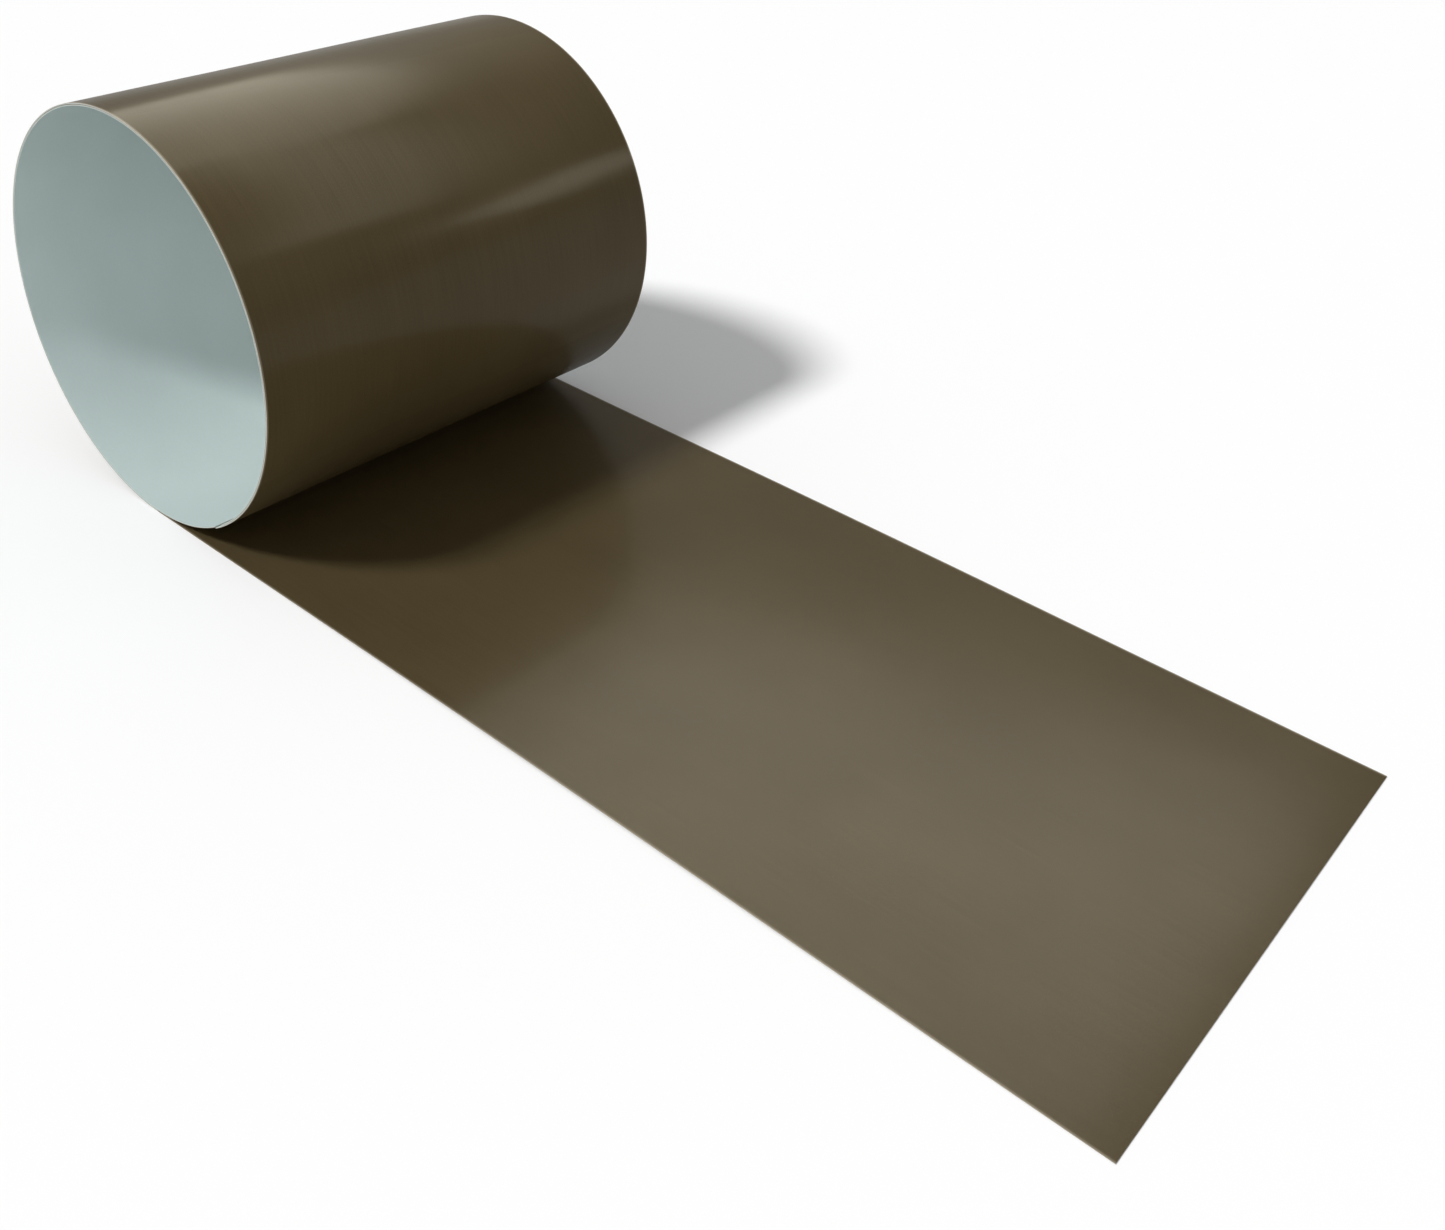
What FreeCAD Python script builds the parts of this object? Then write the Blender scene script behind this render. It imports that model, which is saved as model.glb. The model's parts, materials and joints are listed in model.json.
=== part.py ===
import FreeCAD, Part
import math
import os

import Sketcher

# A short roll of wide foil tape, lying on its side with its tail laid out flat.
#
# The tape is three bonded layers: foil, adhesive and release liner. It is wound
# with the foil outwards. The laid tail has had its liner peeled off, so its
# adhesive faces up.
#
# Frame: +X along the laid tail towards its free end, +Y along the roll's axis,
# +Z up. The origin is on the bench, under the middle of the whole object.
#
# The roll touches the bench along its contact line, where the tail's underside
# becomes the outside of the outer turn. The outer turn runs from there up the
# back, over the top and down the front, and stops short of the bench. The inner
# turn begins where the outer turn ends and lies inside it. A running clearance
# parts the two, because the inner turn goes round as the roll rolls.

doc = FreeCAD.newDocument("foil_tape_roll")

SIZES = [
    ("tape_width", 90.0, "mm, the strip from edge to edge"),
    ("bore_radius", 38.1, "mm, inside the wound turns"),
    ("tail_length", 197.0, "mm, from the contact line to the free end"),
    ("foil_thickness", 0.06, "mm"),
    ("adhesive_thickness", 0.04, "mm"),
    ("liner_thickness", 0.08, "mm"),
    ("turn_clearance", 0.05, "mm, between the outer turn and the inner turn"),
    ("outer_turn_gap", 30.0, "degrees, from the outer turn's end to the contact line"),
    ("inner_turn_gap", 4.0, "degrees, from the strip's inner end to where its turn began"),
]

sheet = doc.addObject("Spreadsheet::Sheet", "sizes")
for row, (name, value, note) in enumerate(SIZES, start=1):
    sheet.set("A%d" % row, name)
    sheet.set("B%d" % row, str(value))
    sheet.set("C%d" % row, note)
    sheet.setAlias("B%d" % row, name)
doc.recompute()

# The radii from the bore outwards: each layer sits on the one inside it.
INNER_LINER_IN = "sizes.bore_radius"
INNER_LINER_OUT = INNER_LINER_IN + " + sizes.liner_thickness"
INNER_ADHESIVE_OUT = INNER_LINER_OUT + " + sizes.adhesive_thickness"
INNER_FOIL_OUT = INNER_ADHESIVE_OUT + " + sizes.foil_thickness"
OUTER_LINER_IN = INNER_FOIL_OUT + " + sizes.turn_clearance"
OUTER_LINER_OUT = OUTER_LINER_IN + " + sizes.liner_thickness"
OUTER_ADHESIVE_OUT = OUTER_LINER_OUT + " + sizes.adhesive_thickness"
OUTER_FOIL_OUT = OUTER_ADHESIVE_OUT + " + sizes.foil_thickness"

# The roll lies on the bench, so its axis is as high as its outer radius. The
# object reaches from the back of the roll to the free end, with its middle at
# x = 0.
AXIS_HEIGHT = OUTER_FOIL_OUT
CONTACT_X = "(" + OUTER_FOIL_OUT + " - sizes.tail_length) / 2"

OUTER_TURN_SWEEP = "360 - sizes.outer_turn_gap"
INNER_TURN_SWEEP = "360 - sizes.inner_turn_gap"

ORIGIN = (-1, 1)
UPRIGHT_AXIS = -2


def origin_plane(body, role):
    for feature in body.Origin.OriginFeatures:
        if feature.Role == role:
            return feature
    raise ValueError("no origin plane " + role)


def rectangle_sketch(body, plane, first, last):
    """A closed rectangle between two opposite corners, free to be sized by constraints.

    Side 0 is the bottom, 1 the right, 2 the top and 3 the left. Each side starts
    where the one before it ends.
    """
    sketch = body.newObject("Sketcher::SketchObject", body.Name + "_outline")
    sketch.AttachmentSupport = [(origin_plane(body, plane), "")]
    sketch.MapMode = "FlatFace"
    corners = [
        FreeCAD.Vector(first[0], first[1], 0),
        FreeCAD.Vector(last[0], first[1], 0),
        FreeCAD.Vector(last[0], last[1], 0),
        FreeCAD.Vector(first[0], last[1], 0),
    ]
    for side in range(4):
        line = Part.LineSegment(corners[side], corners[(side + 1) % 4])
        sketch.addGeometry(line, False)
    for side in range(4):
        joined = Sketcher.Constraint("Coincident", side, 2, (side + 1) % 4, 1)
        sketch.addConstraint(joined)
    for side in (0, 2):
        sketch.addConstraint(Sketcher.Constraint("Horizontal", side))
    for side in (1, 3):
        sketch.addConstraint(Sketcher.Constraint("Vertical", side))
    return sketch


def size_constraint(sketch, kind, start, end, name, expression):
    """A named distance between two points, bound to an expression on the sheet."""
    now = sketch.getPoint(*end) - sketch.getPoint(*start)
    value = now.x if kind == "DistanceX" else now.y
    index = sketch.addConstraint(Sketcher.Constraint(kind, *start, *end, value))
    sketch.renameConstraint(index, name)
    sketch.setExpression("Constraints." + name, expression)


def turn_layer(name, inside, outside, sweep, start_angle):
    """One layer of a wound turn: its cross-section carried round the roll's axis.

    The body's own origin is on the roll's axis. The section stands straight
    below it, and the sweep goes towards the back of the roll. The whole body is
    then turned on by the start angle.
    """
    body = doc.addObject("PartDesign::Body", name)
    body.Label = name
    sketch = rectangle_sketch(body, "YZ_Plane", (-45.0, -39.0), (45.0, -38.0))
    corner = (0, 1)
    size_constraint(sketch, "DistanceX", corner, (0, 2), "width", "sizes.tape_width")
    size_constraint(sketch, "DistanceX", corner, ORIGIN, "half_width", "sizes.tape_width / 2")
    size_constraint(sketch, "DistanceY", corner, ORIGIN, "outer_radius", outside)
    size_constraint(sketch, "DistanceY", (2, 1), ORIGIN, "inner_radius", inside)
    doc.recompute()

    turn = body.newObject("PartDesign::Revolution", name + "_turn")
    turn.Profile = sketch
    turn.ReferenceAxis = (sketch, ["H_Axis"])
    turn.setExpression("Angle", sweep)
    body.Tip = turn

    turned = FreeCAD.Rotation(FreeCAD.Vector(0, 1, 0), 1)
    body.Placement = FreeCAD.Placement(FreeCAD.Vector(0, 0, 0), turned)
    body.setExpression("Placement.Rotation.Angle", start_angle)
    body.setExpression("Placement.Base.x", CONTACT_X)
    body.setExpression("Placement.Base.z", AXIS_HEIGHT)
    doc.recompute()
    return body


def tail_layer(name, thickness, height):
    """One layer of the laid tail, from the contact line to the free end."""
    body = doc.addObject("PartDesign::Body", name)
    body.Label = name
    sketch = rectangle_sketch(body, "XY_Plane", (0.0, -45.0), (197.0, 45.0))
    corner = (0, 1)
    sketch.addConstraint(Sketcher.Constraint("PointOnObject", *corner, UPRIGHT_AXIS))
    size_constraint(sketch, "DistanceX", corner, (0, 2), "length", "sizes.tail_length")
    size_constraint(sketch, "DistanceY", corner, ORIGIN, "half_width", "sizes.tape_width / 2")
    size_constraint(sketch, "DistanceY", corner, (2, 2), "width", "sizes.tape_width")
    doc.recompute()

    slab = body.newObject("PartDesign::Pad", name + "_slab")
    slab.Profile = sketch
    slab.setExpression("Length", thickness)
    body.Tip = slab

    body.setExpression("Placement.Base.x", CONTACT_X)
    body.setExpression("Placement.Base.z", height)
    doc.recompute()
    return body


parts = [
    tail_layer("foil_tail", "sizes.foil_thickness", "0 mm"),
    tail_layer("adhesive_tail", "sizes.adhesive_thickness", "sizes.foil_thickness"),
    turn_layer("foil_outer_turn", OUTER_ADHESIVE_OUT, OUTER_FOIL_OUT, OUTER_TURN_SWEEP, "0"),
    turn_layer("adhesive_outer_turn", OUTER_LINER_OUT, OUTER_ADHESIVE_OUT, OUTER_TURN_SWEEP, "0"),
    turn_layer("liner_outer_turn", OUTER_LINER_IN, OUTER_LINER_OUT, OUTER_TURN_SWEEP, "0"),
    turn_layer(
        "foil_inner_turn", INNER_ADHESIVE_OUT, INNER_FOIL_OUT, INNER_TURN_SWEEP, OUTER_TURN_SWEEP
    ),
    turn_layer(
        "adhesive_inner_turn",
        INNER_LINER_OUT,
        INNER_ADHESIVE_OUT,
        INNER_TURN_SWEEP,
        OUTER_TURN_SWEEP,
    ),
    turn_layer(
        "liner_inner_turn", INNER_LINER_IN, INNER_LINER_OUT, INNER_TURN_SWEEP, OUTER_TURN_SWEEP
    ),
]
doc.recompute()

for item in doc.Objects:
    if "Invalid" in item.State or "Error" in item.State:
        raise RuntimeError("%s failed: %s" % (item.Label, item.State))
for part in parts:
    if part.Shape.isNull() or not part.Shape.isValid() or len(part.Shape.Solids) != 1:
        raise RuntimeError(part.Label + " is not one valid solid")

# A layer's volume is its middle length times its thickness times the width.
size = {name: sheet.get(name) for name, value, note in SIZES}
middle_radius = {
    "liner_inner_turn": size["bore_radius"] + size["liner_thickness"] / 2,
}
middle_radius["adhesive_inner_turn"] = (
    size["bore_radius"] + size["liner_thickness"] + size["adhesive_thickness"] / 2
)
middle_radius["foil_inner_turn"] = (
    size["bore_radius"]
    + size["liner_thickness"]
    + size["adhesive_thickness"]
    + size["foil_thickness"] / 2
)
strip_pitch = (
    size["liner_thickness"]
    + size["adhesive_thickness"]
    + size["foil_thickness"]
    + size["turn_clearance"]
)
for layer in ("liner", "adhesive", "foil"):
    middle_radius[layer + "_outer_turn"] = middle_radius[layer + "_inner_turn"] + strip_pitch

for part in parts:
    layer = part.Label.split("_")[0]
    if part.Label.endswith("tail"):
        length = size["tail_length"]
    elif part.Label.endswith("outer_turn"):
        length = middle_radius[part.Label] * math.radians(360 - size["outer_turn_gap"])
    else:
        length = middle_radius[part.Label] * math.radians(360 - size["inner_turn_gap"])
    expected = length * size[layer + "_thickness"] * size["tape_width"]
    if abs(part.Shape.Volume - expected) > 0.001 * expected:
        raise RuntimeError("%s has volume %.3f, not %.3f" % (part.Label, part.Shape.Volume, expected))

os.makedirs("parts", exist_ok=True)
for part in parts:
    part.Shape.exportStep("parts/%s.step" % part.Label)
    box = part.Shape.BoundBox
    print(
        "%-20s %9.2f mm3  x %.3f %.3f  y %.3f %.3f  z %.3f %.3f"
        % (part.Label, part.Shape.Volume, box.XMin, box.XMax, box.YMin, box.YMax, box.ZMin, box.ZMax)
    )
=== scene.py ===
"""A roll of wide foil tape with its first length laid out flat: foil, adhesive and liner, and a stage."""

import json
import math

import bmesh
import bpy
import numpy as np
from mathutils import Euler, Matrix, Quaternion, Vector


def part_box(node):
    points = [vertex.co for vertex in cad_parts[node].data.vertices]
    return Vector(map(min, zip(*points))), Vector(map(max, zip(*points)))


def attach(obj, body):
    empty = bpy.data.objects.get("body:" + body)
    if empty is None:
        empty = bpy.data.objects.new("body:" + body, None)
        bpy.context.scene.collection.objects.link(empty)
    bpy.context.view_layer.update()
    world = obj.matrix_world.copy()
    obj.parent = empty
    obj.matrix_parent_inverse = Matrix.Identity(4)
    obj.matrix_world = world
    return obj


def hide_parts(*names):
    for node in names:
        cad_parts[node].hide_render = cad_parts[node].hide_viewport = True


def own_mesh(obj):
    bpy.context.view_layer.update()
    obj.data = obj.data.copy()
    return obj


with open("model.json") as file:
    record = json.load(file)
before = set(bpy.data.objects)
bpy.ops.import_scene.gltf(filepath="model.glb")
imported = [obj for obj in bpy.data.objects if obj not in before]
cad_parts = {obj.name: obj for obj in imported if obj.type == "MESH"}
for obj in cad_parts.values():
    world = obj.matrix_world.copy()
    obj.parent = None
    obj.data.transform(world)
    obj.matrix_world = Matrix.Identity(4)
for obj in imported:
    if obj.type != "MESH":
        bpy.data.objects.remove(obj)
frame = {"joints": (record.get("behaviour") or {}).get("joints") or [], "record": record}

bl_info = {
    "name": "Foil Tape Roll",
    "version": (1, 0, 0),
    "blender": (4, 5, 0),
    "location": "3D View > Sidebar > Foil Tape",
    "description": "Builds the turns and the laid-out tail of a roll of foil tape, and a stage",
    "category": "Object",
}

MM = 0.001


# ---- Places and sizes that the frame gives ----

def joint_named(name):
    """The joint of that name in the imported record."""
    return next(joint for joint in frame["joints"] if joint["name"] == name)


def mount_named(name):
    """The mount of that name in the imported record."""
    return next(mount for mount in frame["record"]["mounts"] if mount["name"] == name)


def thickness_of(node):
    """How thick a flat CAD layer is, from its box."""
    low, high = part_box(node)
    return high.z - low.z


TAIL_LOW, TAIL_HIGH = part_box("foil_tail")
TAPE_WIDTH = TAIL_HIGH.y - TAIL_LOW.y
SLIT_EDGE = TAIL_LOW.y
CONTACT_X = TAIL_LOW.x
FREE_END_X = TAIL_HIGH.x
TAIL_LENGTH = FREE_END_X - CONTACT_X

ROLL_AXIS = Vector(joint_named("inner_turn_spin")["pos_m"])
ROLL_RADIUS = ROLL_AXIS.z - TAIL_LOW.z
BORE_RADIUS = mount_named("roll_bore")["dims"]["r_mm"] * MM

FOIL = thickness_of("foil_tail")
ADHESIVE = thickness_of("adhesive_tail")
INNER_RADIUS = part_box("foil_inner_turn")[1].z - ROLL_AXIS.z
LINER = INNER_RADIUS - BORE_RADIUS - FOIL - ADHESIVE

# Angles are about the roll's axis, from +X towards +Z. The strip leaves the bench at the bottom,
# climbs the back and comes over the top, so its angle falls along its length.
BENCH_ANGLE = math.radians(-90)
OUTER_SWEEP = math.radians(330)
INNER_START = BENCH_ANGLE - OUTER_SWEEP
INNER_SWEEP = math.radians(356)

# How far the roll's joint squeezes the tail, which stays fixed at its free end.
TRAVEL = joint_named("roll_travel")["range_m"][1]
TAIL_LEFT = (TAIL_LENGTH - TRAVEL) / TAIL_LENGTH

# Bonded layers would share a face, so each stands off the next by this hair.
LAYER_GAP = 0.001 * MM


# ---- Settings that a user may change ----

class TapeShapeSettings(bpy.types.PropertyGroup):
    """How finely the strip is meshed, and how far it strays from a true cylinder and a flat sheet."""

    turn_cells: bpy.props.IntProperty(
        name="Cells Round a Turn",
        description="Steps in the mesh round one turn of the strip",
        default=240,
        min=48,
    )
    tail_cells: bpy.props.IntProperty(
        name="Cells Along the Tail",
        description="Steps in the mesh along the laid-out tail",
        default=110,
        min=12,
    )
    width_cells: bpy.props.IntProperty(
        name="Cells Across",
        description="Steps in the mesh across the tape",
        default=30,
        min=6,
    )
    turn_wave: bpy.props.FloatProperty(
        name="Turn Waviness",
        description="How far a turn strays from a true cylinder",
        default=0.12 * MM,
        min=0.0,
        unit="LENGTH",
    )
    tail_lift: bpy.props.FloatProperty(
        name="Tail Lift",
        description="How far the middle of the tail springs up off the bench",
        default=0.35 * MM,
        min=0.0,
        unit="LENGTH",
    )
    tail_wave: bpy.props.FloatProperty(
        name="Tail Waviness",
        description="How far the tail strays from flat",
        default=0.06 * MM,
        min=0.0,
        unit="LENGTH",
    )
    seed: bpy.props.IntProperty(
        name="Wave Seed",
        description="Picks another set of waves in the foil",
        default=7,
        min=0,
    )


class TapeFinishSettings(bpy.types.PropertyGroup):
    """Colours and sheen of the three layers."""

    bronze: bpy.props.FloatVectorProperty(
        name="Foil",
        description="Colour of the foil's dark bronze finish",
        subtype="COLOR",
        default=(0.064, 0.0475, 0.0215),
        min=0.0,
        max=1.0,
    )
    bronze_edge: bpy.props.FloatVectorProperty(
        name="Foil Cut Edge",
        description="Colour of the bare metal on the foil's slit edges",
        subtype="COLOR",
        default=(0.52, 0.46, 0.36),
        min=0.0,
        max=1.0,
    )
    foil_roughness: bpy.props.FloatProperty(
        name="Foil Roughness",
        description="Middle value of the foil's roughness under its lacquer",
        subtype="FACTOR",
        default=0.46,
        min=0.0,
        max=1.0,
    )
    lacquer_roughness: bpy.props.FloatProperty(
        name="Lacquer Roughness",
        description="Roughness of the clear lacquer on the foil",
        subtype="FACTOR",
        default=0.17,
        min=0.0,
        max=1.0,
    )
    adhesive: bpy.props.FloatVectorProperty(
        name="Adhesive",
        description="Colour of the clear adhesive",
        subtype="COLOR",
        default=(0.12, 0.10, 0.07),
        min=0.0,
        max=1.0,
    )
    adhesive_cover: bpy.props.FloatProperty(
        name="Adhesive Cover",
        description="How much of what lies under it one face of the adhesive hides",
        subtype="FACTOR",
        default=0.03,
        min=0.0,
        max=1.0,
    )
    adhesive_edge: bpy.props.FloatVectorProperty(
        name="Adhesive Cut Edge",
        description="Colour of the adhesive's slit edges",
        subtype="COLOR",
        default=(0.26, 0.29, 0.28),
        min=0.0,
        max=1.0,
    )
    liner: bpy.props.FloatVectorProperty(
        name="Liner",
        description="Colour of the pale green release liner",
        subtype="COLOR",
        default=(0.352, 0.418, 0.408),
        min=0.0,
        max=1.0,
    )
    liner_edge: bpy.props.FloatVectorProperty(
        name="Liner Cut Edge",
        description="Colour of the liner's slit edges",
        subtype="COLOR",
        default=(0.31, 0.35, 0.335),
        min=0.0,
        max=1.0,
    )


class TapeStageSettings(bpy.types.PropertyGroup):
    """The floor and how strongly it and the roll are lit."""

    floor: bpy.props.FloatVectorProperty(
        name="Floor",
        description="Colour of the floor",
        subtype="COLOR",
        default=(0.9, 0.9, 0.9),
        min=0.0,
        max=1.0,
    )
    key_strength: bpy.props.FloatProperty(
        name="Key",
        description="Irradiance of the key light, in watts per square metre",
        default=2.75,
        min=0.0,
    )
    room_strength: bpy.props.FloatProperty(
        name="Room",
        description="Brightness of the room overhead",
        default=0.42,
        min=0.0,
    )
    sheen_strength: bpy.props.FloatProperty(
        name="Sheen",
        description="How strongly the soft boxes show in the lacquer",
        default=1.0,
        min=0.0,
    )
    fill_strength: bpy.props.FloatProperty(
        name="Fill",
        description="How strongly the shade under the roll and inside it is lifted",
        default=1.0,
        min=0.0,
    )


# ---- Shader maths ----

# The Mix node has several sockets of one name. These are its factor's and its colours'.
MIX_FACTOR = 0
MIX_FIRST = 6
MIX_SECOND = 7
MIX_RESULT = 2


class Signal:
    """One output of a material's nodes, on which Python's own arithmetic adds Math nodes."""

    def __init__(self, recipe, socket):
        self.recipe = recipe
        self.socket = socket

    def math(self, operation, *operands):
        """A Math node of that operation on the operands."""
        return self.recipe.node("ShaderNodeMath", {"operation": operation}, dict(enumerate(operands)))

    def __add__(self, other):
        return self.math("ADD", self, other)

    def __radd__(self, other):
        return self.math("ADD", other, self)

    def __sub__(self, other):
        return self.math("SUBTRACT", self, other)

    def __rsub__(self, other):
        return self.math("SUBTRACT", other, self)

    def __mul__(self, other):
        return self.math("MULTIPLY", self, other)

    def __rmul__(self, other):
        return self.math("MULTIPLY", other, self)

    def least(self, other):
        """The smaller of the two values."""
        return self.math("MINIMUM", self, other)

    def ramp(self, low, high):
        """0 below low, 1 above high, and a smooth rise between them."""
        return self.recipe.node(
            "ShaderNodeMapRange",
            {"interpolation_type": "SMOOTHSTEP"},
            {"Value": self, "From Min": low, "From Max": high},
        )


class Recipe:
    """The nodes of one material, or of the world."""

    def __init__(self, owner):
        self.owner = owner
        owner.use_nodes = True
        self.tree = owner.node_tree
        self.tree.nodes.clear()

    def node(self, kind, settings=None, sockets=None, output=0):
        """Adds a node, its settings first and then its sockets' values or links."""
        made = self.tree.nodes.new(kind)
        for name, value in (settings or {}).items():
            setattr(made, name, value)
        for name, value in (sockets or {}).items():
            if isinstance(value, Signal):
                self.tree.links.new(value.socket, made.inputs[name])
            else:
                made.inputs[name].default_value = value
        return Signal(self, made.outputs[output]) if len(made.outputs) else None

    def strip_place(self):
        """Metres along the strip and metres across it, as one vector."""
        return self.node("ShaderNodeUVMap", {"uv_map": "strip"})

    def part_of(self, vector, index):
        """One part of a vector: 0 for X, 1 for Y, 2 for Z."""
        return self.node("ShaderNodeSeparateXYZ", sockets={"Vector": vector}, output=index)

    def noise(self, place, per_metre, detail=2.0, roughness=0.5):
        """Noise from 0 to 1, with so many features to the metre along the strip and across it."""
        along, across = per_metre
        drawn_out = self.node(
            "ShaderNodeVectorMath",
            {"operation": "MULTIPLY"},
            {0: place, 1: (along, across, 1.0)},
        )
        return self.node(
            "ShaderNodeTexNoise",
            {"noise_dimensions": "3D"},
            {"Vector": drawn_out, "Scale": 1.0, "Detail": detail, "Roughness": roughness},
        )

    def blend(self, mask, first, second):
        """The first colour where the mask is 0 and the second where it is 1."""
        return self.node(
            "ShaderNodeMix",
            {"data_type": "RGBA"},
            {MIX_FACTOR: mask, MIX_FIRST: first, MIX_SECOND: second},
            output=MIX_RESULT,
        )

    def shade(self, sockets):
        """A Principled shader, joined to the material's output."""
        shader = self.node("ShaderNodeBsdfPrincipled", sockets=sockets)
        self.node("ShaderNodeOutputMaterial", sockets={"Surface": shader})


def opaque(colour, share=1.0):
    """A colour with its alpha, made lighter or darker by share."""
    return (*(min(1.0, part * share) for part in colour), 1.0)


def mottled(recipe, tone, colour, spread):
    """A colour that is darker by spread where the tone is 0, and paler by as much where it is 1."""
    return recipe.blend(tone, opaque(colour, 1 - spread), opaque(colour, 1 + spread))


def swinging(middle, *patterns):
    """A value that each pattern swings either side of its middle, by its own share."""
    value = middle
    for pattern, share in patterns:
        value = value + (pattern - 0.5) * share
    return value


def near_slit_edge(recipe, place, worn_from, worn_to):
    """1 at either slit edge of the tape, falling to 0 between two distances from it in metres."""
    across = recipe.part_of(place, 1)
    distance = across.least(TAPE_WIDTH - across)
    return 1 - distance.ramp(worn_from, worn_to)


# How many features each pattern has to the metre, along the strip and across it.
FOIL_CLOUDS = (22, 30)
ROLLING_LINES = (45, 2100)
FOIL_GRAIN = (3200, 4600)
KNIFE_MARKS = (1800, 1800)
ADHESIVE_SMEARS = (120, 420)
ADHESIVE_SPECKS = (2400, 2400)
LINER_CLOUDS = (28, 40)
LINER_FIBRES = (900, 2400)
LINER_CUT_FIBRES = (3000, 3000)

# The foil's body is nearly all dark bronze finish, with little bare metal, under a thin clear lacquer.
METAL_SHARE = 0.05
BODY_GLOSS = 0.05
BODY_TINT = 0.3
LACQUER_WEIGHT = 0.18
LACQUER_LEAST = 0.4
LACQUER_SWING = 0.4
LACQUER_IOR = 1.5
FOIL_SPREAD = 0.26
FOIL_RELIEF = 0.008 * MM
FOIL_RELIEF_STRENGTH = 0.35

# How much of the bronze is worn off the foil at its slit edges, and between which distances it fades.
WORN_SHARE = 0.35
WORN_FROM = 0.05 * MM
WORN_TO = 0.45 * MM

KNIFE_SPREAD = 0.18
CUT_METAL_SHARE = 0.8

ADHESIVE_IOR = 1.47
SMEAR_SPREAD = 0.1
SPECK_SPREAD = 0.15

LINER_SPREAD = 0.09
LINER_RELIEF = 0.01 * MM
LINER_RELIEF_STRENGTH = 0.3
LINER_ROUGHNESS = 0.5
RELEASE_COAT_WEIGHT = 0.3
RELEASE_COAT_ROUGHNESS = 0.35


def foil_face(finish):
    """Dark bronze lacquered foil: faint rolling lines along the strip, a fine grain and slow clouding."""
    recipe = Recipe(bpy.data.materials.new("foil_bronze"))
    place = recipe.strip_place()
    clouding = recipe.noise(place, FOIL_CLOUDS, 3.0, 0.55)
    rolling = recipe.noise(place, ROLLING_LINES, 3.0, 0.6)
    grain = recipe.noise(place, FOIL_GRAIN, 2.0, 0.6)
    worn = near_slit_edge(recipe, place, WORN_FROM, WORN_TO)
    tone = swinging(0.5, (clouding, 0.9), (rolling, 0.55), (grain, 0.8))
    lacquered = mottled(recipe, tone, finish.bronze, FOIL_SPREAD)
    height = rolling * 0.45 + grain * 0.55
    relief = recipe.node(
        "ShaderNodeBump",
        sockets={"Strength": FOIL_RELIEF_STRENGTH, "Distance": FOIL_RELIEF, "Height": height},
    )
    recipe.shade(
        {
            "Base Color": recipe.blend(worn * WORN_SHARE, lacquered, opaque(finish.bronze_edge)),
            "Metallic": METAL_SHARE,
            "Roughness": swinging(finish.foil_roughness, (rolling, 0.16), (clouding, 0.1)),
            "Specular IOR Level": BODY_GLOSS,
            "Specular Tint": opaque(finish.bronze_edge, BODY_TINT),
            "Coat Weight": LACQUER_WEIGHT * (LACQUER_LEAST + (rolling + grain + clouding) * LACQUER_SWING),
            "Coat Roughness": finish.lacquer_roughness,
            "Coat IOR": LACQUER_IOR,
            "Normal": relief,
        }
    )
    return recipe.owner


def foil_edge(finish):
    """Bare metal where the foil was slit, streaked by the knife."""
    recipe = Recipe(bpy.data.materials.new("foil_cut_edge"))
    knife = recipe.noise(recipe.strip_place(), KNIFE_MARKS)
    recipe.shade(
        {
            "Base Color": mottled(recipe, knife, finish.bronze_edge, KNIFE_SPREAD),
            "Metallic": CUT_METAL_SHARE,
            "Roughness": 0.3 + knife * 0.2,
        }
    )
    return recipe.owner


def adhesive_face(finish):
    """Clear adhesive film: nearly all of what lies under it shows through."""
    recipe = Recipe(bpy.data.materials.new("adhesive_clear"))
    smear = recipe.noise(recipe.strip_place(), ADHESIVE_SMEARS, 3.0)
    recipe.shade(
        {
            "Base Color": mottled(recipe, smear, finish.adhesive, SMEAR_SPREAD),
            "Roughness": 0.16 + smear * 0.12,
            "IOR": ADHESIVE_IOR,
            "Alpha": finish.adhesive_cover,
        }
    )
    return recipe.owner


def adhesive_edge(finish):
    """The adhesive's cut edge, milky with what it has picked up."""
    recipe = Recipe(bpy.data.materials.new("adhesive_cut_edge"))
    speck = recipe.noise(recipe.strip_place(), ADHESIVE_SPECKS)
    recipe.shade(
        {
            "Base Color": mottled(recipe, speck, finish.adhesive_edge, SPECK_SPREAD),
            "Roughness": 0.35 + speck * 0.2,
        }
    )
    return recipe.owner


def liner_face(finish):
    """Pale green coated paper: a soft fibre and a faint cloud under a satin release coat."""
    recipe = Recipe(bpy.data.materials.new("liner_pale_green"))
    place = recipe.strip_place()
    clouding = recipe.noise(place, LINER_CLOUDS, 3.0)
    fibre = recipe.noise(place, LINER_FIBRES, 3.0, 0.6)
    tone = swinging(0.5, (clouding, 1.4), (fibre, 0.5))
    relief = recipe.node(
        "ShaderNodeBump",
        sockets={"Strength": LINER_RELIEF_STRENGTH, "Distance": LINER_RELIEF, "Height": fibre},
    )
    recipe.shade(
        {
            "Base Color": mottled(recipe, tone, finish.liner, LINER_SPREAD),
            "Roughness": swinging(LINER_ROUGHNESS, (fibre, 0.15)),
            "Coat Weight": RELEASE_COAT_WEIGHT,
            "Coat Roughness": RELEASE_COAT_ROUGHNESS,
            "Normal": relief,
        }
    )
    return recipe.owner


def liner_edge(finish):
    """The liner's slit edge: bare fibres under the pale green."""
    recipe = Recipe(bpy.data.materials.new("liner_cut_edge"))
    fibre = recipe.noise(recipe.strip_place(), LINER_CUT_FIBRES)
    recipe.shade(
        {
            "Base Color": mottled(recipe, fibre, finish.liner_edge, LINER_SPREAD),
            "Roughness": 0.7 + fibre * 0.15,
        }
    )
    return recipe.owner


# ---- Meshes ----

# The sheet's waves, largest first: how much each counts, how long they are in metres and how far they
# slant, in radians. The lightest ones are also the shortest.
WAVE_SHARES = (1.0, 0.7, 0.45, 0.3)
WAVE_LENGTHS = (0.045, 0.11)
WAVE_SLANT = 0.8
WAVE_SHORTEST = 0.4

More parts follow.
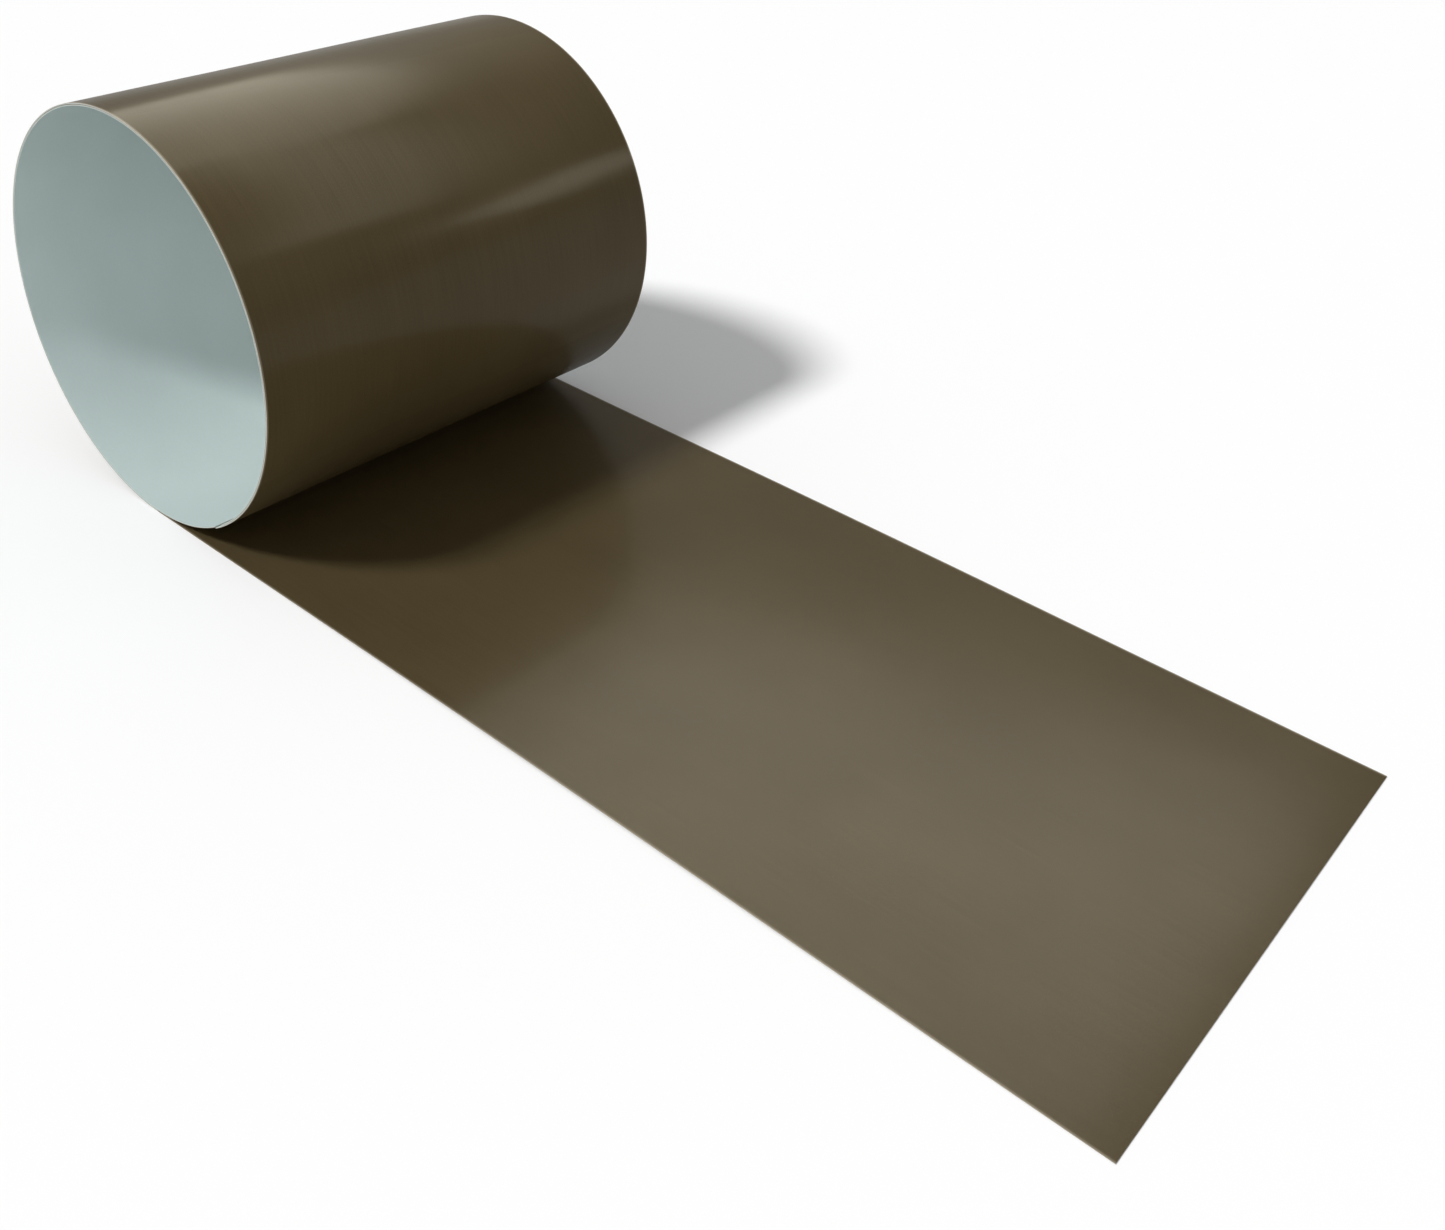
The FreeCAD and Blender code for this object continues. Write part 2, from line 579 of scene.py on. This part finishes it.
# Waves fade out towards the strip's ends, and partly towards its slit edges.
END_FADE = 30 * MM
EDGE_FADE = 20 * MM
EDGE_SHARE = 0.35

# The inner turn strays inwards, and less than the outer turn strays outwards.
INNER_WAVE_SHARE = -0.6

# A piece's finishes: its faces' and its cut edges'.
FACE_FINISH = 0
CUT_FINISH = 1


def waves(seed, along, across):
    """Slow waves in a sheet, from -1 to 1, at distances along and across it in metres."""
    source = np.random.default_rng(seed)
    total = np.zeros(np.broadcast(along, across).shape)
    weight = 0.0
    for share in WAVE_SHARES:
        length = source.uniform(*WAVE_LENGTHS) * (WAVE_SHORTEST + (1 - WAVE_SHORTEST) * share)
        slant = source.uniform(-WAVE_SLANT, WAVE_SLANT)
        phase = source.uniform(0, 2 * math.pi)
        distance = along * math.cos(slant) + across * math.sin(slant)
        total += share * np.cos(2 * math.pi * distance / length + phase)
        weight += share
    return total / weight


def fade(distance, reach):
    """0 at distance 0, rising smoothly to 1 at reach."""
    part = np.clip(distance / reach, 0, 1)
    return part * part * (3 - 2 * part)


def grid(along_cells, length, width_cells):
    """Distances along a stretch of strip and across it, as a column and a row."""
    along = np.linspace(0, length, along_cells + 1)[:, None]
    across = np.linspace(0, TAPE_WIDTH, width_cells + 1)[None, :]
    return along, across


def turn_layer(start, sweep, radius, stray, shape):
    """Points of a layer's face round one turn, and how far each is along that turn and across it."""
    cells = round(shape.turn_cells * sweep / (2 * math.pi))
    along, across = grid(cells, sweep * radius, shape.width_cells)
    angle = start - sweep * np.linspace(0, 1, cells + 1)[:, None]
    ends = fade(along, END_FADE) * fade(sweep * radius - along, END_FADE)
    from_edge = np.minimum(across, TAPE_WIDTH - across)
    edges = EDGE_SHARE + (1 - EDGE_SHARE) * fade(from_edge, EDGE_FADE)
    ripple = (waves(shape.seed, angle * ROLL_RADIUS, across) + 1) / 2
    reach = radius + stray * ripple * ends * edges
    points = np.stack(
        [
            ROLL_AXIS.x + reach * np.cos(angle),
            SLIT_EDGE + across + 0 * reach,
            ROLL_AXIS.z + reach * np.sin(angle),
        ],
        axis=-1,
    )
    return points, along + 0 * across, across + 0 * along


def tail_layer(height, shape):
    """Points of a layer's face along the tail, which springs up a little between its ends."""
    along, across = grid(shape.tail_cells, TAIL_LENGTH, shape.width_cells)
    spring = np.sin(math.pi * along / TAIL_LENGTH) ** 2
    ends = fade(along, END_FADE)
    ripple = (waves(shape.seed + 1, along, across) + 1) / 2
    rise = shape.tail_lift * spring + shape.tail_wave * ripple * ends
    points = np.stack(
        [CONTACT_X + along + 0 * across, SLIT_EDGE + across + 0 * along, TAIL_LOW.z + height + rise],
        axis=-1,
    )
    return points, along + 0 * across, across + 0 * along


def sheet_between(name, low, high, strip_start, strip_step):
    """A closed thin sheet between two layer faces. Its map tells metres along the strip and across it."""
    rows, columns = low[1].shape
    sheet = bmesh.new()
    strip = sheet.loops.layers.uv.new("strip")
    faces = [[sheet.verts.new(point) for point in side[0].reshape(-1, 3)] for side in (low, high)]
    places = {}
    for side, verts in zip((low, high), faces):
        for vert, along, across in zip(verts, side[1].ravel(), side[2].ravel()):
            places[vert] = (strip_start + strip_step * along, across)

    def add(corners, finish, smooth):
        face = sheet.faces.new(corners)
        face.material_index = finish
        face.smooth = smooth
        for loop in face.loops:
            loop[strip].uv = places[loop.vert]

    for row in range(rows - 1):
        for column in range(columns - 1):
            at = row * columns + column
            corners = (at, at + 1, at + columns + 1, at + columns)
            for verts in faces:
                add([verts[corner] for corner in corners], FACE_FINISH, True)
    around = list(range(columns))
    around += [row * columns + columns - 1 for row in range(1, rows)]
    around += [(rows - 1) * columns + column for column in range(columns - 2, -1, -1)]
    around += [row * columns for row in range(rows - 2, 0, -1)]
    for first, second in zip(around, around[1:] + around[:1]):
        add([faces[0][first], faces[0][second], faces[1][second], faces[1][first]], CUT_FINISH, False)
    bmesh.ops.recalc_face_normals(sheet, faces=sheet.faces)
    for edge in sheet.edges:
        edge.smooth = len({face.material_index for face in edge.link_faces}) == 1
    mesh = bpy.data.meshes.new(name)
    sheet.to_mesh(mesh)
    sheet.free()
    piece = bpy.data.objects.new(name, mesh)
    bpy.context.scene.collection.objects.link(piece)
    return piece


def dress(piece, face, edge, body, node):
    """Gives a piece its two finishes, and says what it rides on and stands for."""
    piece.data.materials.append(face)
    piece.data.materials.append(edge)
    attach(piece, body)
    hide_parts(node)


def build_turns(context, layer, outside, thickness, face, edge):
    """Both turns of one layer, whose outer face lies that far inside its turn's outer face."""
    shape = context.scene.tape_shape
    inner_wave = INNER_WAVE_SHARE * shape.turn_wave
    inner_strip_start = TAIL_LENGTH + OUTER_SWEEP * ROLL_RADIUS
    turns = (
        ("outer_turn", BENCH_ANGLE, OUTER_SWEEP, ROLL_RADIUS, shape.turn_wave, TAIL_LENGTH),
        ("inner_turn", INNER_START, INNER_SWEEP, INNER_RADIUS, inner_wave, inner_strip_start),
    )
    for body, start, sweep, radius, stray, strip_start in turns:
        top = turn_layer(start, sweep, radius - outside - LAYER_GAP / 2, stray, shape)
        under = turn_layer(start, sweep, radius - outside - thickness + LAYER_GAP / 2, stray, shape)
        piece = sheet_between(layer + "_of_" + body, under, top, strip_start, 1)
        dress(piece, face, edge, body, layer + "_" + body)


def build_tail(context, layer, bottom, thickness, face, edge):
    """One layer of the laid-out tail."""
    shape = context.scene.tape_shape
    under = tail_layer(bottom + LAYER_GAP / 2, shape)
    top = tail_layer(bottom + thickness - LAYER_GAP / 2, shape)
    piece = sheet_between(layer + "_of_tail", under, top, TAIL_LENGTH, -1)
    dress(piece, face, edge, "tail", layer + "_tail")
    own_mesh(piece)


class TAPE_OT_foil(bpy.types.Operator):
    """Build the bronze foil of the tail and of both turns"""

    bl_idname = "tape.foil"
    bl_label = "Foil"
    bl_options = {"REGISTER", "UNDO"}

    def execute(self, context):
        finish = context.scene.tape_finish
        face = foil_face(finish)
        edge = foil_edge(finish)
        build_turns(context, "foil", 0.0, FOIL, face, edge)
        build_tail(context, "foil", 0.0, FOIL, face, edge)
        return {"FINISHED"}


class TAPE_OT_adhesive(bpy.types.Operator):
    """Build the clear adhesive, bare on the tail and covered by the liner in the turns"""

    bl_idname = "tape.adhesive"
    bl_label = "Adhesive"
    bl_options = {"REGISTER", "UNDO"}

    def execute(self, context):
        finish = context.scene.tape_finish
        face = adhesive_face(finish)
        edge = adhesive_edge(finish)
        build_turns(context, "adhesive", FOIL, ADHESIVE, face, edge)
        build_tail(context, "adhesive", FOIL, ADHESIVE, face, edge)
        return {"FINISHED"}


class TAPE_OT_liner(bpy.types.Operator):
    """Build the pale green liner inside both turns"""

    bl_idname = "tape.liner"
    bl_label = "Liner"
    bl_options = {"REGISTER", "UNDO"}

    def execute(self, context):
        finish = context.scene.tape_finish
        build_turns(context, "liner", FOIL + ADHESIVE, LINER, liner_face(finish), liner_edge(finish))
        return {"FINISHED"}


# ---- Stage ----

FLOOR_REACH = 30.0
FLOOR_DROP = 0.05 * MM
FLOOR_ROUGHNESS = 0.9
FLOOR_GLOSS = 0.1

# How high above the horizon the room stops darkening: 1 is straight overhead.
HORIZON_HEIGHT = 0.2

# The way to the key light, and how wide it looks from the bench.
KEY_TOWARDS = Vector((-0.26, -0.57, 0.78))
KEY_WIDTH = math.radians(10.5)

# The camera's place in metres, its turn in degrees, and its lens and sensor in millimetres.
CAMERA_PLACE = Vector((0.151, -0.169, 0.161))
CAMERA_TURN = (61.6, -3.2, 40.2)
CAMERA_LENS = 38.7
CAMERA_SHIFT = (0.0, -0.15)
CAMERA_NEAREST = 10 * MM
SENSOR_WIDTH = 36.0


# The colours of the room and of the soft boxes' cloths.
WHITE = (1.0, 1.0, 1.0)
WARM_WHITE = (1.0, 0.945, 0.79)
AMBER = (1.0, 0.8, 0.5)


def build_floor(colour):
    """A plain pale floor just under the tape."""
    corners = [(-FLOOR_REACH, -FLOOR_REACH), (FLOOR_REACH, -FLOOR_REACH)]
    corners += [(FLOOR_REACH, FLOOR_REACH), (-FLOOR_REACH, FLOOR_REACH)]
    mesh = bpy.data.meshes.new("floor")
    mesh.from_pydata([(x, y, TAIL_LOW.z - FLOOR_DROP) for x, y in corners], [], [(0, 1, 2, 3)])
    floor = bpy.data.objects.new("floor", mesh)
    bpy.context.scene.collection.objects.link(floor)
    recipe = Recipe(bpy.data.materials.new("floor_pale"))
    recipe.shade(
        {
            "Base Color": opaque(colour),
            "Roughness": FLOOR_ROUGHNESS,
            "Specular IOR Level": FLOOR_GLOSS,
        }
    )
    mesh.materials.append(recipe.owner)


def build_room(strength):
    """A pale room, brightest at the horizon, where it meets the floor."""
    world = bpy.data.worlds.new("room")
    bpy.context.scene.world = world
    recipe = Recipe(world)
    towards = recipe.node("ShaderNodeTexCoord")
    overhead = recipe.part_of(towards, 2).ramp(0.0, HORIZON_HEIGHT)
    colour = recipe.blend(overhead, opaque(WHITE), opaque(WHITE, strength))
    background = recipe.node("ShaderNodeBackground", sockets={"Color": colour, "Strength": 1.0})
    recipe.node("ShaderNodeOutputWorld", sockets={"Surface": background})


def build_key(strength):
    """A soft key light, high up in front of the roll's open end and to its left."""
    light = bpy.data.lights.new("key", "SUN")
    light.energy = strength
    light.angle = KEY_WIDTH
    key = bpy.data.objects.new("key", light)
    key.location = KEY_TOWARDS
    key.rotation_euler = KEY_TOWARDS.to_track_quat("Z", "Y").to_euler()
    bpy.context.scene.collection.objects.link(key)


class SoftBox:
    """A flat soft box: where it hangs, which way its back is turned, and how big and bright it is."""

    def __init__(self, name, place, bearing, climb, spin, size, brightness, colour=WARM_WHITE):
        """Bearing runs from +X towards +Y and climb from level to overhead. Angles are in degrees."""
        self.name = name
        self.place = Vector(place)
        self.bearing = math.radians(bearing)
        self.climb = math.radians(climb)
        self.spin = math.radians(spin)
        self.size = size
        self.brightness = brightness
        self.colour = colour

    def turn(self):
        """The box's rotation: it shines away from its back, along its own -Z."""
        reach = math.cos(self.climb)
        x = reach * math.cos(self.bearing)
        y = reach * math.sin(self.bearing)
        facing = Vector((x, y, math.sin(self.climb))).to_track_quat("Z", "Y")
        return (facing @ Quaternion((0, 0, 1), self.spin)).to_euler()

    def build(self, strength, pieces):
        """Hangs the box, whose light falls on these pieces alone."""
        width, height = self.size
        light = bpy.data.lights.new(self.name, "AREA")
        light.shape = "RECTANGLE"
        light.size = width
        light.size_y = height
        light.color = self.colour
        light.energy = math.pi * width * height * self.brightness * strength
        box = bpy.data.objects.new(self.name, light)
        box.location = self.place
        box.rotation_euler = self.turn()
        box.visible_camera = False
        bpy.context.scene.collection.objects.link(box)
        lit = bpy.data.collections.new(self.name + "_falls_on")
        for piece in pieces:
            lit.objects.link(bpy.data.objects[piece])
        box.light_linking.receiver_collection = lit
        return box


# These show in the lacquer as highlights and light nothing else.
TAIL_BOX = SoftBox("tail_sheen", (-0.32, 0.54, 0.64), 0, 75, -90, (0.64, 0.40), 7.0)
ROLL_BOXES = (
    SoftBox("roll_sheen", (-0.47, 0.41, 0.64), 135, 45, 40, (0.20, 0.80), 6.3),
    SoftBox("roll_shoulder", (0.20, 0.45, 0.69), 60, 50, 40, (0.72, 0.12), 5.1),
    SoftBox("roll_streak", (0.48, 0.56, 0.34), 45, 20, 25, (0.16, 0.10), 7.4),
)
# These lift the shade under the roll and inside it, and don't show as highlights.
BOUNCE_BOX = SoftBox("foil_bounce", (0.45, -0.55, 0.40), -50, 30, 0, (0.5, 0.5), 1.4, AMBER)
LINER_BOX = SoftBox("liner_fill", (0.12, -0.55, 0.25), -70, 20, 0, (0.5, 0.5), 4.8, WHITE)


def build_soft_boxes(stage):
    """Hangs every soft box, each over the pieces that it is meant for."""
    sheens = [TAIL_BOX.build(stage.sheen_strength, ["foil_of_tail", "adhesive_of_tail"])]
    for roll_box in ROLL_BOXES:
        sheens.append(roll_box.build(stage.sheen_strength, ["foil_of_outer_turn"]))
    for sheen in sheens:
        sheen.visible_diffuse = False
    bounce = BOUNCE_BOX.build(stage.fill_strength, ["foil_of_tail", "foil_of_outer_turn"])
    bounce.light_linking.blocker_collection = bpy.data.collections.new("bounce_blocked_by")
    inside = LINER_BOX.build(stage.fill_strength, ["liner_of_outer_turn", "liner_of_inner_turn"])
    for fill in (bounce, inside):
        fill.visible_glossy = False


def build_camera():
    """The main view's camera."""
    lens = bpy.data.cameras.new("camera")
    lens.sensor_width = SENSOR_WIDTH
    lens.lens = CAMERA_LENS
    lens.shift_x, lens.shift_y = CAMERA_SHIFT
    lens.clip_start = CAMERA_NEAREST
    camera = bpy.data.objects.new("camera", lens)
    camera.location = CAMERA_PLACE
    camera.rotation_euler = Euler([math.radians(turn) for turn in CAMERA_TURN])
    bpy.context.scene.collection.objects.link(camera)
    bpy.context.scene.camera = camera


class TAPE_OT_stage(bpy.types.Operator):
    """Build the floor, the lights and the camera"""

    bl_idname = "tape.stage"
    bl_label = "Stage"
    bl_options = {"REGISTER", "UNDO"}

    def execute(self, context):
        stage = context.scene.tape_stage
        build_floor(stage.floor)
        build_room(stage.room_strength)
        build_key(stage.key_strength)
        build_soft_boxes(stage)
        build_camera()
        context.scene.view_settings.view_transform = "Standard"
        return {"FINISHED"}


class TAPE_PT_panel(bpy.types.Panel):
    """Lists what builds the roll, with its settings"""

    bl_idname = "TAPE_PT_panel"
    bl_label = "Foil Tape Roll"
    bl_space_type = "VIEW_3D"
    bl_region_type = "UI"
    bl_category = "Foil Tape"

    def draw(self, context):
        for operator in OPERATORS:
            self.layout.operator(operator.bl_idname)
        for settings in (context.scene.tape_shape, context.scene.tape_finish, context.scene.tape_stage):
            box = self.layout.box()
            for name in type(settings).__annotations__:
                box.prop(settings, name)


SETTINGS = {
    "tape_shape": TapeShapeSettings,
    "tape_finish": TapeFinishSettings,
    "tape_stage": TapeStageSettings,
}
OPERATORS = (TAPE_OT_foil, TAPE_OT_adhesive, TAPE_OT_liner, TAPE_OT_stage)


def register():
    for name, group in SETTINGS.items():
        bpy.utils.register_class(group)
        setattr(bpy.types.Scene, name, bpy.props.PointerProperty(type=group))
    for operator in OPERATORS:
        bpy.utils.register_class(operator)
    bpy.utils.register_class(TAPE_PT_panel)


def unregister():
    bpy.utils.unregister_class(TAPE_PT_panel)
    for operator in reversed(OPERATORS):
        bpy.utils.unregister_class(operator)
    for name, group in reversed(SETTINGS.items()):
        delattr(bpy.types.Scene, name)
        bpy.utils.unregister_class(group)


def main():
    """Builds every piece and the stage."""
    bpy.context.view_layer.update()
    register()
    bpy.ops.tape.foil()
    bpy.ops.tape.adhesive()
    bpy.ops.tape.liner()
    bpy.ops.tape.stage()


if __name__ == "__main__":
    main()
